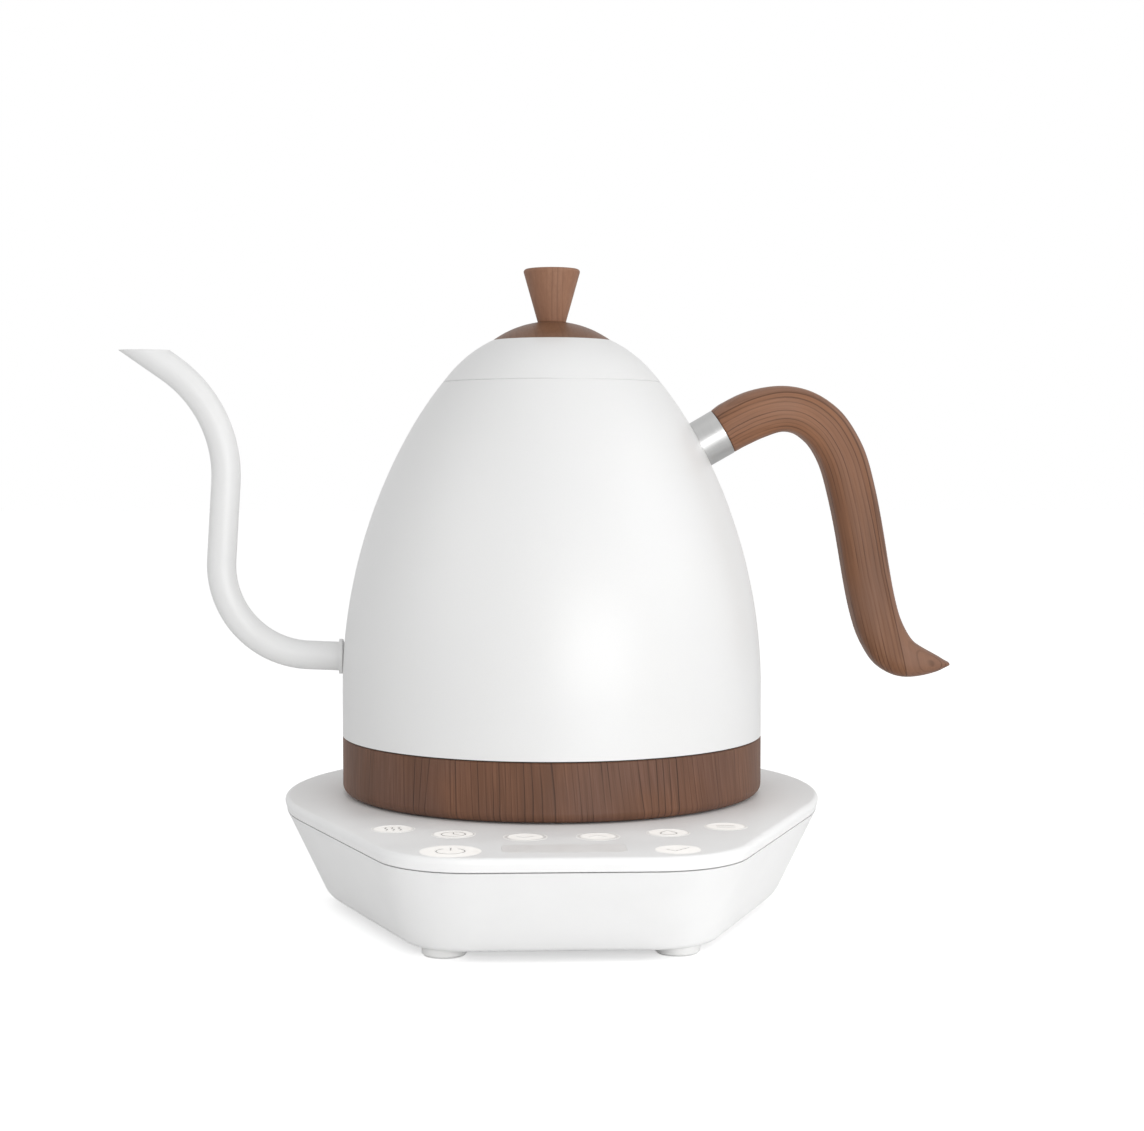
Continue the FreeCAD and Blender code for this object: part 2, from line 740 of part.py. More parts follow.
# ---------------------------------------------------------------- lid
def lid():
    gap = S["lid_gap"]
    rim = S["neck_radius"] - gap
    wall = S["lid_wall"]
    seat = S["cap_seat"]
    outer_start = (rim, egg("mid", S["lid_angle"] + 0.2)[1] + 0.05)
    steps = [
        outer_start,
        ("via",) + egg("mid", (S["lid_angle"] + S["mid_angle"]) / 2 + 0.1),
        egg("mid", S["mid_angle"]),
        ("via",) + egg("top", (S["mid_angle"] + S["cap_angle"]) / 2),
        egg("top", S["cap_angle"]),
        (egg("top", S["cap_angle"])[0], seat),
        (2.2, seat),
        (2.2, seat - 1.6),
        (egg("top", S["cap_angle"])[0] - 1.4, seat - 1.6),
        ("via",) + egg("top", (S["mid_angle"] + S["cap_angle"]) / 2, wall),
        egg("top", S["mid_angle"], wall),
        (rim - 1.6, 184.0),
        (rim - 1.6, 180.6),
        (rim, 180.6),
    ]
    keep("lid_shell", turned("lid_shell", steps))

    dome = S["cap_dome"]
    edge = S["cap_radius"]
    edge_z = egg("top", S["cap_angle"])[1]
    centre = edge_z - root(dome * dome - edge * edge)
    inner = S["knob_low_radius"]

    def dome_z(radius):
        return centre + root(dome * dome - radius * radius)

    half = (edge + inner) / 2
    steps = [
        (2.2, seat + 0.02),
        (edge, seat + 0.02),
        (edge, edge_z),
        ("via", half, dome_z(half)),
        (inner, dome_z(inner)),
        (2.2, dome_z(inner)),
    ]
    keep("lid_cap", turned("lid_cap", steps))

    low, high = S["knob_bottom"], S["knob_top"]
    r_low, r_high = S["knob_low_radius"], S["knob_high_radius"]
    steps = [
        (0, low + 9.0),
        (1.75, low + 9.0),
        (1.75, low),
        (r_low - 0.1, low),
        (r_low, low + 0.1),
        (r_high, high - 1.2),
        ("via", r_high - 0.25, high - 0.35),
        (r_high - 1.1, high),
        (0, high),
    ]
    keep("lid_knob", turned("lid_knob", steps))

    head_top = seat - 1.62
    steps = [
        (0, head_top - 2.5),
        (3.6, head_top - 2.5),
        (3.6, head_top),
        (1.7, head_top),
        (1.7, low + 8.6),
        (0, low + 8.6),
    ]
    keep("knob_screw", turned("knob_screw", steps))

    skirt = S["neck_radius"] - 2.4
    steps = [
        (0, 181.4),
        (10.0, 179.8),
        (skirt - 6.0, 179.8),
        (skirt - 4.0, 177.8),
        (skirt - 4.0, S["neck_bottom"] + 1.3),
        (skirt, S["neck_bottom"] + 1.3),
        (skirt, 176.8),
        (skirt - 1.4, 176.8),
        (skirt - 1.4, 179.2),
        (skirt, 179.2),
        (skirt, 183.2),
        (skirt - 1.2, 183.2),
        (skirt - 1.2, 181.4),
        (10.0, 181.4),
        (0, 183.0),
    ]
    liner = turned("lid_liner", steps)
    vents = sketch_on(liner, "XY_Plane", 186.0, "vents")
    for turn in (40, 90, 140):
        x = 20.0 * math.cos(math.radians(turn))
        y = 20.0 * math.sin(math.radians(turn))
        circle_in(vents, x, y, 2.2)
    pocket(liner, vents, 9.0)
    keep("lid_liner", liner)

    steps = [
        (skirt - 1.3, 176.9),
        (skirt + 1.2, 177.3),
        (skirt + 1.95, 177.9),
        (skirt + 1.2, 178.6),
        (skirt - 1.3, 179.1),
    ]
    keep("lid_gasket", turned("lid_gasket", steps))


# ---------------------------------------------------------------- base
def plan(radius, front, corner):
    """Base outline: circle about the origin, straight tangent sides, rounded front corners."""
    angle = S["side_angle"]
    cos_a, sin_a = cosd(angle), sind(angle)
    corner_y = corner - front
    corner_x = (radius - corner + corner_y * sin_a) / cos_a
    mid = (angle + 90) / 2
    side = (corner_x + cos_a * corner, corner_y - sin_a * corner)
    tangent = (cos_a * radius, -(sin_a * radius))
    bulge = (corner_x + cosd(mid) * corner, corner_y - sind(mid) * corner)

    def mirrored(point):
        return (-point[0], point[1])

    return [
        (-corner_x, -front),
        (corner_x, -front),
        ("via",) + bulge,
        side,
        tangent,
        ("via", 0, radius),
        mirrored(tangent),
        mirrored(side),
        ("via",) + mirrored(bulge),
    ]


def base_plan(body, level, inset, name, under=False):
    key = "under" if under else "seam"
    outline = plan(S[key + "_radius"] - inset, S[key + "_front"] - inset, S[key + "_corner"] - inset)
    return draw(sketch_on(body, "XY_Plane", level, name), outline)


def screw_places():
    return [(-52.0, 40.0), (52.0, 40.0), (-46.0, -58.0), (46.0, -58.0)]


def foot_places():
    ring = 72.0
    places = [(-37.0, -88.6), (37.0, -88.6)]
    for turn in (3, 177, 58, 122):
        places.append((ring * math.cos(math.radians(turn)), ring * math.sin(math.radians(turn))))
    return places


def base_cover():
    body = make_body("base_cover")
    low = S["seam_height"] + S["seam_gap"] / 2
    high = S["deck_height"]
    plate = pad(body, base_plan(body, low, 0.0, "low"), high - low)
    put(plate, "TaperAngle", S["deck_flare"])
    round_edges(body, S["deck_round"],
                lambda e: abs(e.BoundBox.ZMin - val(high)) < 0.01 and abs(e.BoundBox.ZMax - val(high)) < 0.01)
    hollow = base_plan(body, high - S["base_wall"], S["base_wall"], "hollow")
    pocket(body, hollow, 10.0, tag="hollow_cut")
    posts = sketch_on(body, "XY_Plane", high - S["base_wall"] + 0.5, "posts")
    for x, y in screw_places():
        circle_in(posts, x, y, 3.6)
    post_foot = 11.1
    post_pad = pad(body, posts, high - S["base_wall"] + 0.5 - post_foot, "posts_pad")
    post_pad.Reversed = True
    doc.recompute()
    bores = sketch_on(body, "XY_Plane", 11.0, "bores")
    for x, y in screw_places():
        circle_in(bores, x, y, 1.5)
    pocket(body, bores, 16.0, upward=True, tag="bores_cut")
    opening = sketch_on(body, "XY_Plane", high + 1.0, "opening")
    circle_in(opening, 0, 0, S["plug_radius"] + 1.5)
    pocket(body, opening, 6.0, tag="opening_cut")
    icons = sketch_on(body, "XY_Plane", high, "icons")
    for x, y, radius in icon_places():
        circle_in(icons, x, y, radius + 0.06)
    pocket(body, icons, S["icon_depth"], tag="icons_cut")
    screen = sketch_on(body, "XY_Plane", high, "screen")
    draw(screen, screen_outline(0.06))
    pocket(body, screen, S["icon_depth"], tag="screen_cut")
    return keep("base_cover", body)


def icon_places():
    """Six round touch icons on a ring about the kettle, and two in front of them."""
    ring = S["icon_ring"]
    places = []
    for turn in (6.9, 21.0, 34.3):
        for side in (-1, 1):
            places.append((sind(side * turn) * ring, -(cosd(turn) * ring), S["icon_radius"]))
    places.append((-S["panel_side"], -S["panel_row"], S["power_icon_radius"]))
    places.append((S["panel_side"], -S["panel_row"], S["icon_radius"]))
    return places


def screen_outline(grow):
    """Rounded strip of the display window."""
    half = S["display_length"] / 2 + grow
    width = S["display_width"] / 2 + grow
    row = S["display_row"]
    r = 3.0
    k = r * (1 - math.sqrt(0.5))
    return [
        (-half + r, -row - width), (half - r, -row - width), ("via", half - k, -row - width + k),
        (half, -row - width + r), (half, -row + width - r), ("via", half - k, -row + width - k),
        (half - r, -row + width), (-half + r, -row + width), ("via", -half + k, -row + width - k),
        (-half, -row + width - r), (-half, -row - width + r), ("via", -half + k, -row - width + k),
    ]


def touch_panel():
    high = S["deck_height"]
    discs = []
    for number, (x, y, radius) in enumerate(icon_places()):
        discs.append(cylinder("icon_%d" % number, radius, S["icon_depth"], x=x, y=y,
                              z=high - S["icon_depth"]))
    keep("touch_icons", group("touch_icons", discs))
    window = make_body("display_window")
    draw(sketch_on(window, "XY_Plane", high - S["icon_depth"], "plate"), screen_outline(0.0))
    sketch = window.Group[0]
    pad(window, sketch, S["icon_depth"])
    keep("display_window", window)

    board = make_body("control_board")
    level = high - S["base_wall"] - 3.2
    draw(sketch_on(board, "XY_Plane", level, "board"), [
        (-38, -119.5), (38, -119.5), (62, -70), (24, -60), (-24, -60), (-62, -70),
    ])
    pad(board, board.Group[0], 1.6)
    keep("control_board", board)
    keep("buzzer", cylinder("buzzer", 6.0, 5.0, x=20.0, y=-78.0, z=level - 5.02))
    keep("display_module", box("display_module", (36.0, 11.0, 1.3), (-18.0, -119.0, level + 1.62)))


def base_housing():
    body = make_body("base_housing")
    low = S["under_height"]
    high = S["seam_height"] - S["seam_gap"] / 2
    sections = [base_plan(body, high, 0.0, "high"), base_plan(body, low, 0.0, "low", under=True)]
    doc.recompute()
    loft(body, sections, ruled=True)
    round_edges(body, S["under_round"],
                lambda e: abs(e.BoundBox.ZMin - val(low)) < 0.01 and abs(e.BoundBox.ZMax - val(low)) < 0.01)
    lip = base_plan(body, high - 1.0, S["base_wall"] + 0.2, "lip")
    pad(body, lip, 3.2, "lip_pad")
    doc.recompute()
    floor_top = low + S["base_wall"]
    sections = [
        base_plan(body, high + 2.4, S["base_wall"] + 1.8, "hollow_high"),
        base_plan(body, floor_top, S["base_wall"], "hollow_low", under=True),
    ]
    doc.recompute()
    loft(body, sections, "hollow", cut=True, ruled=True)
    doc.recompute()
    wells = sketch_on(body, "XY_Plane", floor_top - 0.5, "wells")
    for x, y in screw_places():
        circle_in(wells, x, y, 5.4)
    pad(body, wells, 6.0, "wells_pad")
    doc.recompute()
    stems = sketch_on(body, "XY_Plane", low - 1.0, "stems")
    for x, y in screw_places():
        circle_in(stems, x, y, 1.7)
    pocket(body, stems, 12.0, upward=True, tag="stems_cut")
    heads = sketch_on(body, "XY_Plane", low - 1.0, "heads")
    for x, y in screw_places():
        circle_in(heads, x, y, 3.4)
    pocket(body, heads, 5.6, upward=True, tag="heads_cut")
    seats = sketch_on(body, "XY_Plane", low - 1.0, "seats")
    for x, y in foot_places():
        circle_in(seats, x, y, S["foot_radius"] + 0.05)
    pocket(body, seats, S["foot_inset"] + 1.0, upward=True, tag="seats_cut")
    stub = sketch_on(body, "XZ_Plane", -80.0, "stub")
    circle_in(stub, 0, S["gland_height"], S["gland_radius"] + 3.4)
    stub_pad = pad(body, stub, 11.0, "stub_pad")
    stub_pad.Reversed = True
    doc.recompute()
    inlet = sketch_on(body, "XZ_Plane", -70.0, "inlet")
    circle_in(inlet, 0, S["gland_height"], S["gland_radius"] + 0.05)
    pocket(body, inlet, 30.0, tag="inlet_cut")
    return keep("base_housing", body)


def base_fittings():
    low = S["under_height"]
    feet = []
    for number, (x, y) in enumerate(foot_places()):
        pad_solid = cylinder("foot_%d" % number, S["foot_radius"], low + S["foot_inset"], x=x, y=y)
        soft = doc.addObject("Part::Chamfer", "foot_edge_%d" % number)
        soft.Base = pad_solid
        doc.recompute()
        rims = []
        for index, edge in enumerate(pad_solid.Shape.Edges, 1):
            if edge.BoundBox.ZMax < 0.01:
                rims.append((index, 0.7, 0.7))
        soft.Edges = rims
        feet.append(soft)
    keep("base_feet", group("base_feet", feet))

    screws = []
    for number, (x, y) in enumerate(screw_places()):
        screws.append(fuse("base_screw_%d" % number, [
            cylinder("base_screw_head_%d" % number, 3.1, 1.9, x=x, y=y, z=low + 2.65),
            cylinder("base_screw_stem_%d" % number, 1.45, 18.0, x=x, y=y, z=low + 3.0),
        ]))
    keep("base_screws", group("base_screws", screws))

    plug = S["plug_radius"]
    deck = S["deck_height"]
    under = deck - S["base_wall"]
    steps = [
        (0, under - 5.0),
        (plug + 6.0, under - 5.0),
        (plug + 6.0, under - 0.05),
        (plug + 1.3, under - 0.05),
        (plug + 1.3, deck + 0.2),
        (plug, deck + 0.6),
        (plug, S["plug_top"] - 2.0),
        (plug - 1.5, S["plug_top"] - 0.5),
        (12.6, S["plug_top"] - 0.5),
        (12.6, S["plug_top"] - 7.0),
        (9.4, S["plug_top"] - 7.0),
        (9.4, S["plug_top"] - 0.5),
        (7.1, S["plug_top"] - 0.5),
        (7.1, S["plug_top"] - 7.0),
        (3.9, S["plug_top"] - 7.0),
        (3.9, S["plug_top"] - 0.5),
        (0, S["plug_top"] - 0.5),
    ]
    keep("base_connector", turned("base_connector", steps))
    contacts = []
    for number, radius in enumerate(CONTACT_RINGS):
        for turn in (60, 240):
            x = radius * math.cos(math.radians(turn))
            y = radius * math.sin(math.radians(turn))
            contacts.append(cylinder("contact_%d_%d" % (number, turn), 1.1, 4.4, x=x, y=y,
                                     z=S["plug_top"] - 6.95))
    keep("base_contacts", group("base_contacts", contacts))

    # power electronics behind the connector
    floor_top = low + S["base_wall"]
    board = box("power_card", (76.0, 44.0, 1.6), (-38.0, 22.0, floor_top + 6.0))
    keep("power_board", board)
    top = floor_top + 7.62
    parts = [
        box("relay", (19.0, 15.0, 14.0), (-32.0, 45.0, top)),
        box("transformer", (17.0, 14.0, 15.0), (14.0, 44.0, top)),
        cylinder("capacitor", 4.0, 13.0, x=0.0, y=52.0, z=top),
        box("terminal", (14.0, 8.0, 9.0), (-7.0, 26.0, top)),
    ]
    keep("power_parts", group("power_parts", parts))
    posts = []
    for number, (x, y) in enumerate(((-33.0, 27.0), (33.0, 27.0), (-33.0, 61.0), (33.0, 61.0))):
        posts.append(cylinder("spacer_%d" % number, 2.6, 5.96, x=x, y=y, z=floor_top + 0.02))
    keep("board_spacers", group("board_spacers", posts))

    # flat cable from the power board forward to the control board
    ribbon = make_body("ribbon_cable")
    level = floor_top + 7.7
    strip = sketch_on(ribbon, "YZ_Plane", 16.0, "side")
    draw(strip, [
        (30.0, level), (20.0, level), (-66.0, level + 3.0), (-66.0, 31.0),
        (-65.0, 31.0), (-65.0, level + 4.0), (20.0, level + 0.9), (30.0, level + 0.9),
    ])
    pad(ribbon, strip, 12.0)
    keep("ribbon_cable", ribbon)

    gland = make_body("cord_gland")
    flange = sketch_on(gland, "XZ_Plane", -91.05, "flange")
    circle_in(flange, 0, S["gland_height"], S["gland_radius"] + 2.4)
    flange_pad = pad(gland, flange, 3.0, "flange_pad")
    flange_pad.Reversed = True
    barrel = sketch_on(gland, "XZ_Plane", -72.0, "barrel")
    circle_in(barrel, 0, S["gland_height"], S["gland_radius"])
    barrel_pad = pad(gland, barrel, 22.0, "barrel_pad")
    barrel_pad.Reversed = True
    doc.recompute()
    bore = sketch_on(gland, "XZ_Plane", -60.0, "bore")
    circle_in(bore, 0, S["gland_height"], S["gland_bore"])
    pocket(gland, bore, 50.0, tag="bore_cut")
    keep("cord_gland", gland)


body_shell()
band_and_trim()
heater()
underside()
connector_socket()
spout()
handle()
lid()
base_cover()
touch_panel()
base_housing()
base_fittings()

doc.recompute()
for obj in doc.Objects:
    if "Invalid" in obj.State or "Error" in obj.State:
        raise ValueError("%s did not build: %s" % (obj.Name, obj.State))

os.makedirs("parts", exist_ok=True)
for label, obj in nodes.items():
    shape = obj.Shape
    if shape.isNull() or not shape.isValid() or not shape.Solids:
        raise ValueError("%s is not a valid solid" % label)
    shape.exportStep("parts/%s.step" % label)
    print("%-20s solids %d volume %.0f" % (label, len(shape.Solids), shape.Volume))
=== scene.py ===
import json
import math

import bpy
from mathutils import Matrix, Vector


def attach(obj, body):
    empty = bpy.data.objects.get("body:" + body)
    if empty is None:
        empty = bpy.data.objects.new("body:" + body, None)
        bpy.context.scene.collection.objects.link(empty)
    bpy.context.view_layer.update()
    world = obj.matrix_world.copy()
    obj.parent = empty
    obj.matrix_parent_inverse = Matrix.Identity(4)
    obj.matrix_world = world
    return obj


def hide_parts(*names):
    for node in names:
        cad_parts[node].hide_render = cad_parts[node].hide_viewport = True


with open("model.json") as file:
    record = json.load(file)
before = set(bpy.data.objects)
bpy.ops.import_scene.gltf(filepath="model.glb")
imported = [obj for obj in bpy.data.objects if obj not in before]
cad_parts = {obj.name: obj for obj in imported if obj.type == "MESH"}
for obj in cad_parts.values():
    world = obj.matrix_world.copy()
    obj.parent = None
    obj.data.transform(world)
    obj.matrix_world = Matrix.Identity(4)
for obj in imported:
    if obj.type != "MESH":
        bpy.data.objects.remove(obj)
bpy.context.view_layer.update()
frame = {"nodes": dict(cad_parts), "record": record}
nodes = frame["nodes"]

MM = 0.001


# ---------------------------------------------------------------- shader building
def shaded(color, factor):
    return tuple(c * factor for c in color)


class Surface:
    """A node material: its principled shader, its object coordinates and short calls for nodes."""

    def __init__(self, name, color, roughness, **sockets):
        self.material = bpy.data.materials.new(name)
        self.material.use_nodes = True
        self.tree = self.material.node_tree
        self.shader = self.tree.nodes["Principled BSDF"]
        self.color = color
        self.shader.inputs["Base Color"].default_value = (*color, 1)
        self.shader.inputs["Roughness"].default_value = roughness
        for label, value in sockets.items():
            self.shader.inputs[label.replace("_", " ")].default_value = value
        self.place = self.node("ShaderNodeTexCoord").outputs["Object"]

    def node(self, kind, **settings):
        made = self.tree.nodes.new(kind)
        for key, value in settings.items():
            setattr(made, key, value)
        return made

    def plug(self, source, socket):
        """Link an output to a socket, or set the socket when the source is a plain value."""
        if hasattr(source, "links"):
            self.tree.links.new(source, socket)
        else:
            socket.default_value = source

    def math(self, kind, a, b=0.0):
        made = self.node("ShaderNodeMath", operation=kind)
        self.plug(a, made.inputs[0])
        self.plug(b, made.inputs[1])
        return made.outputs[0]

    def stretched(self, scale, turn=(0, 0, 0), place=None):
        """Coordinates times scale, turned first, so that a pattern can be drawn out along one way."""
        turned = self.node("ShaderNodeMapping", vector_type="POINT")
        self.plug(place or self.place, turned.inputs["Vector"])
        turned.inputs["Rotation"].default_value = turn
        sized = self.node("ShaderNodeVectorMath", operation="MULTIPLY")
        self.plug(turned.outputs[0], sized.inputs[0])
        sized.inputs[1].default_value = scale
        return sized.outputs[0]

    def noise(self, scale, detail=2.0, place=None, roughness=0.5):
        made = self.node("ShaderNodeTexNoise")
        self.plug(place or self.place, made.inputs["Vector"])
        made.inputs["Scale"].default_value = scale
        made.inputs["Detail"].default_value = detail
        made.inputs["Roughness"].default_value = roughness
        return made.outputs["Fac"]

    def span(self, value, low, high, out_low=0.0, out_high=1.0, smooth=False):
        """The value carried from one range to another and held within it."""
        made = self.node("ShaderNodeMapRange", clamp=True)
        if smooth:
            made.interpolation_type = "SMOOTHSTEP"
        self.plug(value, made.inputs["Value"])
        made.inputs["From Min"].default_value = low
        made.inputs["From Max"].default_value = high
        made.inputs["To Min"].default_value = out_low
        made.inputs["To Max"].default_value = out_high
        return made.outputs["Result"]

    def mix(self, share, a, b, blend="MIX"):
        made = self.node("ShaderNodeMix", data_type="RGBA", blend_type=blend)
        self.plug(share, made.inputs[0])
        self.plug(a if hasattr(a, "links") else (*a, 1), made.inputs[6])
        self.plug(b if hasattr(b, "links") else (*b, 1), made.inputs[7])
        return made.outputs[2]

    def tint(self, share, low, high):
        """Base colour between two shades of the surface's own colour."""
        blend = self.mix(share, shaded(self.color, low), shaded(self.color, high))
        self.plug(blend, self.shader.inputs["Base Color"])

    def gloss(self, share, low, high):
        """Roughness between two values."""
        self.plug(self.span(share, 0.3, 0.7, low, high), self.shader.inputs["Roughness"])

    def bump(self, height, depth, strength):
        made = self.node("ShaderNodeBump")
        made.inputs["Strength"].default_value = strength
        made.inputs["Distance"].default_value = depth
        self.plug(height, made.inputs["Height"])
        self.plug(made.outputs[0], self.shader.inputs["Normal"])


def moulded(name, color, roughness, grain=1800.0, depth=0.00002, **sockets):
    """Moulded plastic, rubber or silicone: fine even grain, with clouded gloss."""
    s = Surface(name, color, roughness, **sockets)
    cloud = s.noise(60.0, 3.0)
    s.tint(cloud, 0.965, 1.03)
    s.gloss(cloud, roughness * 0.88, roughness * 1.12)
    s.bump(s.noise(grain, 2.0), depth, 0.6)
    return s


def brushed(name, color, roughness, scale, turn=(0, 0, 0), depth=0.000012):
    """Metal with fine scratches drawn out along the smallest number in scale."""
    s = Surface(name, color, roughness, Metallic=1.0)
    lines = s.noise(1.0, 3.0, place=s.stretched(scale, turn))
    cloud = s.noise(45.0, 2.0)
    s.tint(lines, 0.93, 1.05)
    fine = s.span(lines, 0.3, 0.7, -0.04, 0.05)
    broad = s.span(cloud, 0.3, 0.7, roughness - 0.03, roughness + 0.04)
    s.plug(s.math("ADD", fine, broad), s.shader.inputs["Roughness"])
    s.bump(lines, depth, 0.5)
    return s


PEARL_WHITE = (0.80, 0.80, 0.795)
COOL_WHITE = (0.785, 0.79, 0.80)
BARE_STEEL = (0.60, 0.60, 0.61)
VESSEL_RADIUS = 0.0742  # everything nearer the kettle's axis and facing it is inside the vessel


def painted(name):
    """Satin pearl white over steel. The faces that look at the kettle's axis are left as bare steel."""
    s = Surface(name, PEARL_WHITE, 0.42, Coat_Weight=0.3, Coat_Roughness=0.34)
    peel = s.noise(520.0, 1.0)
    flake = s.noise(5200.0, 1.0)
    cloud = s.noise(24.0, 2.0)
    normal = s.node("ShaderNodeTexCoord").outputs["Normal"]
    flat = s.node("ShaderNodeVectorMath", operation="MULTIPLY")
    s.plug(s.place, flat.inputs[0])
    flat.inputs[1].default_value = (1, 1, 0)
    outward = s.node("ShaderNodeVectorMath", operation="NORMALIZE")
    s.plug(flat.outputs[0], outward.inputs[0])
    facing = s.node("ShaderNodeVectorMath", operation="DOT_PRODUCT")
    s.plug(normal, facing.inputs[0])
    s.plug(outward.outputs[0], facing.inputs[1])
    near = s.node("ShaderNodeVectorMath", operation="LENGTH")
    s.plug(flat.outputs[0], near.inputs[0])
    inward = s.math("LESS_THAN", facing.outputs["Value"], -0.2)
    vessel = s.math("LESS_THAN", near.outputs["Value"], VESSEL_RADIUS)
    inside = s.math("MULTIPLY", inward, vessel)
    paint = s.mix(s.span(flake, 0.35, 0.65), shaded(s.color, 0.985), shaded(s.color, 1.01))
    paint = s.mix(s.span(cloud, 0.3, 0.7, 0.0, 0.25), paint, COOL_WHITE)
    s.plug(s.mix(inside, paint, BARE_STEEL), s.shader.inputs["Base Color"])
    s.plug(inside, s.shader.inputs["Metallic"])
    satin = s.span(cloud, 0.3, 0.7, 0.39, 0.45)
    s.plug(s.math("SUBTRACT", satin, s.math("MULTIPLY", inside, 0.14)), s.shader.inputs["Roughness"])
    s.bump(s.math("ADD", peel, s.math("MULTIPLY", flake, 0.08)), 0.00001, 0.5)
    return s


BAND_RADIUS = 0.0747
BAND_MIDDLE = 0.048  # height about which the band's grain leans


def bent_grain(s):
    """Along, across and deep in the wood, as stored on the bent grip's points."""
    return s.node("ShaderNodeAttribute", attribute_name="grain").outputs["Vector"]


def wrapped_grain(s):
    """Veneer round the kettle's foot: its grain stands upright, leans a little and is joined at the back."""
    parts = s.node("ShaderNodeSeparateXYZ")
    s.plug(s.place, parts.inputs[0])
    turn = s.math("ARCTAN2", parts.outputs["X"], s.math("MULTIPLY", parts.outputs["Y"], -1.0))
    arc = s.math("MULTIPLY", turn, BAND_RADIUS)
    lean = s.span(arc, -0.06, 0.08, -0.02, 0.22)
    above_middle = s.math("SUBTRACT", parts.outputs["Z"], BAND_MIDDLE)
    made = s.node("ShaderNodeCombineXYZ")
    s.plug(parts.outputs["Z"], made.inputs["X"])
    s.plug(s.math("ADD", arc, s.math("MULTIPLY", above_middle, lean)), made.inputs["Y"])
    return made.outputs[0]


def upright_grain(s):
    """Grain of a turned piece cut upright from a block."""
    parts = s.node("ShaderNodeSeparateXYZ")
    s.plug(s.place, parts.inputs[0])
    made = s.node("ShaderNodeCombineXYZ")
    for source, target in (("Z", "X"), ("X", "Y"), ("Y", "Z")):
        s.plug(parts.outputs[source], made.inputs[target])
    return made.outputs[0]


def growth_rings(s, place, drift, spacing, line_width, pith, wander, line_share):
    """How far each ring has darkened, weighted by the ring's own strength, and its dark closing line."""
    sway = s.noise(1.0, 1.0, place=s.stretched((38.0, 260.0, 260.0), place=place))
    from_pith = s.node("ShaderNodeVectorMath", operation="MULTIPLY_ADD")
    s.plug(place, from_pith.inputs[0])
    from_pith.inputs[1].default_value = (0, 1, 1)
    from_pith.inputs[2].default_value = (0, -pith[0], -pith[1])
    radius = s.node("ShaderNodeVectorMath", operation="LENGTH")
    s.plug(from_pith.outputs[0], radius.inputs[0])
    count = s.math("ADD", s.math("MULTIPLY", radius.outputs["Value"], 1 / spacing),
                   s.math("MULTIPLY", drift, wander))
    count = s.math("ADD", count, s.math("MULTIPLY", sway, 0.22))
    ring = s.math("FRACT", count)
    own = s.node("ShaderNodeTexWhiteNoise", noise_dimensions="1D")
    s.plug(s.math("FLOOR", count), own.inputs["W"])
    strength = s.span(own.outputs["Value"], 0.1, 1.0, 0.15, 1.0)
    late = s.span(ring, 0.30, 0.95, 0.0, 1.0, smooth=True)
    share = line_width / spacing
    edge = s.math("MULTIPLY", s.span(ring, 1 - share, 1 - share * 0.5, 0.0, 1.0, smooth=True),
                  s.span(ring, 1 - share * 0.3, 1.0, 1.0, 0.0, smooth=True))
    fade = s.span(s.noise(1.0, 2.0, place=s.stretched((30.0, 90.0, 90.0), place=place)), 0.34, 0.56)
    edge = s.math("MULTIPLY", s.math("MULTIPLY", edge, strength), s.math("MULTIPLY", fade, line_share))
    return s.math("MULTIPLY", late, strength), edge


def painted_shade_along_grain(s, place, base, first, last):
    """Painted shade: sinks the tone a little between two lengths along the grain, darker where less light
    falls on the grip's lower part.
    """
    parts = s.node("ShaderNodeSeparateXYZ")
    s.plug(place, parts.inputs[0])
    shade_share = s.span(parts.outputs["X"], first, last, 0.0, 0.75, smooth=True)
    return s.mix(shade_share, base, (0.66, 0.64, 0.62), "MULTIPLY")


def painted_sheen_strip(s, place, drift, base, edge, border, patch):
    """Painted sheen: greyer wood beyond a distance across the grain, where the grip's outer face catches the
    light, behind one dark line.
    """
    parts = s.node("ShaderNodeSeparateXYZ")
    s.plug(place, parts.inputs[0])
    shift = s.math("MULTIPLY", s.math("SUBTRACT", drift, 0.5), 0.004)
    beyond = s.math("ADD", parts.outputs["Y"], shift)
    base = s.mix(s.span(beyond, border, border + 0.0005, 0.0, 0.5), base, patch)
    line = s.math("MULTIPLY", s.span(beyond, border - 0.0002, border, 0.0, 1.0),
                  s.span(beyond, border + 0.0001, border + 0.0004, 0.8, 0.0))
    return base, s.math("MAXIMUM", edge, line)


